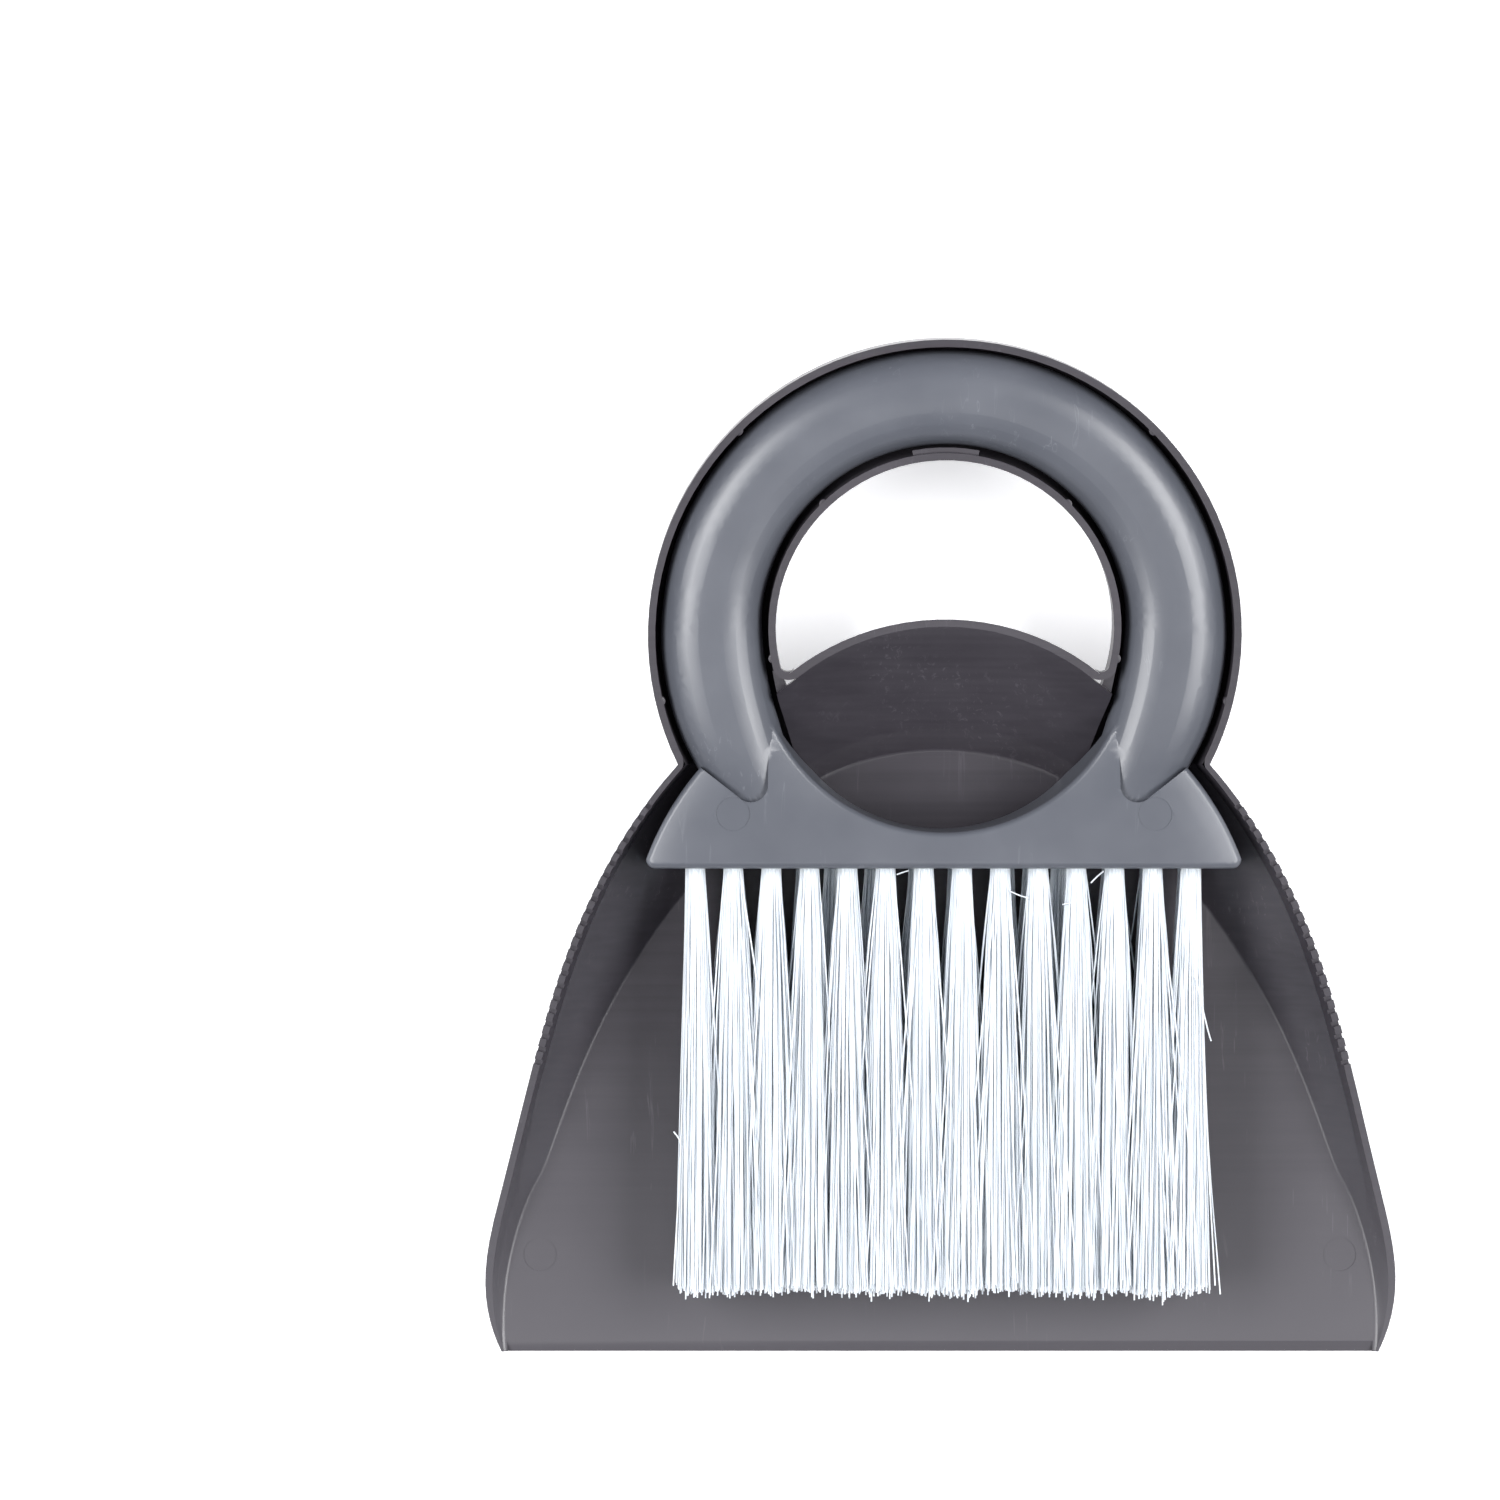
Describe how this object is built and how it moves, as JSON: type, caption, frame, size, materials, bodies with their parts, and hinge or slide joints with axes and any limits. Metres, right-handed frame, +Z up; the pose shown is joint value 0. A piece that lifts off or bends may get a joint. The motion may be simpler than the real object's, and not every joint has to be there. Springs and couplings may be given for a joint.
{
  "type": "hand brush and dustpan set",
  "caption": "Small hand brush with a ring handle, nested in a dustpan whose trough handle and scoop hold it; the brush lifts out for sweeping crumbs into the pan.",
  "frame": {"origin": "under the middle of the nested set, on the surface that the pan lies on", "axes": "+Y from the pan's mouth to the ring handles, +X to the right seen from above with the handles at the far end, +Z up"},
  "size_m": [0.2032, 0.2243, 0.0403],
  "materials": {
    "moulded_polypropylene": "satin moulded, mid grey",
    "bristle_filament": "glossy synthetic filament, near white",
    "anchor_wire": "drawn flat wire"
  },
  "bodies": {
    "pan": {"dustpan": "moulded_polypropylene"},
    "brush": {"brush_body": "moulded_polypropylene", "tuft_upper_01": "bristle_filament", "tuft_upper_02": "bristle_filament", "tuft_upper_03": "bristle_filament", "tuft_upper_04": "bristle_filament", "tuft_upper_05": "bristle_filament", "tuft_upper_06": "bristle_filament", "tuft_upper_07": "bristle_filament", "tuft_upper_08": "bristle_filament", "tuft_upper_09": "bristle_filament", "tuft_upper_10": "bristle_filament", "tuft_upper_11": "bristle_filament", "tuft_upper_12": "bristle_filament", "tuft_upper_13": "bristle_filament", "tuft_upper_14": "bristle_filament", "tuft_lower_01": "bristle_filament", "tuft_lower_02": "bristle_filament", "tuft_lower_03": "bristle_filament", "tuft_lower_04": "bristle_filament", "tuft_lower_05": "bristle_filament", "tuft_lower_06": "bristle_filament", "tuft_lower_07": "bristle_filament", "tuft_lower_08": "bristle_filament", "tuft_lower_09": "bristle_filament", "tuft_lower_10": "bristle_filament", "tuft_lower_11": "bristle_filament", "tuft_lower_12": "bristle_filament", "tuft_lower_13": "bristle_filament", "tuft_lower_14": "bristle_filament", "anchors_upper_row": "anchor_wire", "anchors_lower_row": "anchor_wire"}
  },
  "joints": [
    {"name": "brush_lift", "type": "slide", "parent": "pan", "child": "brush", "axis": [0, -0.165, 0.9863], "range_m": [0, 0.08]}
  ]
}
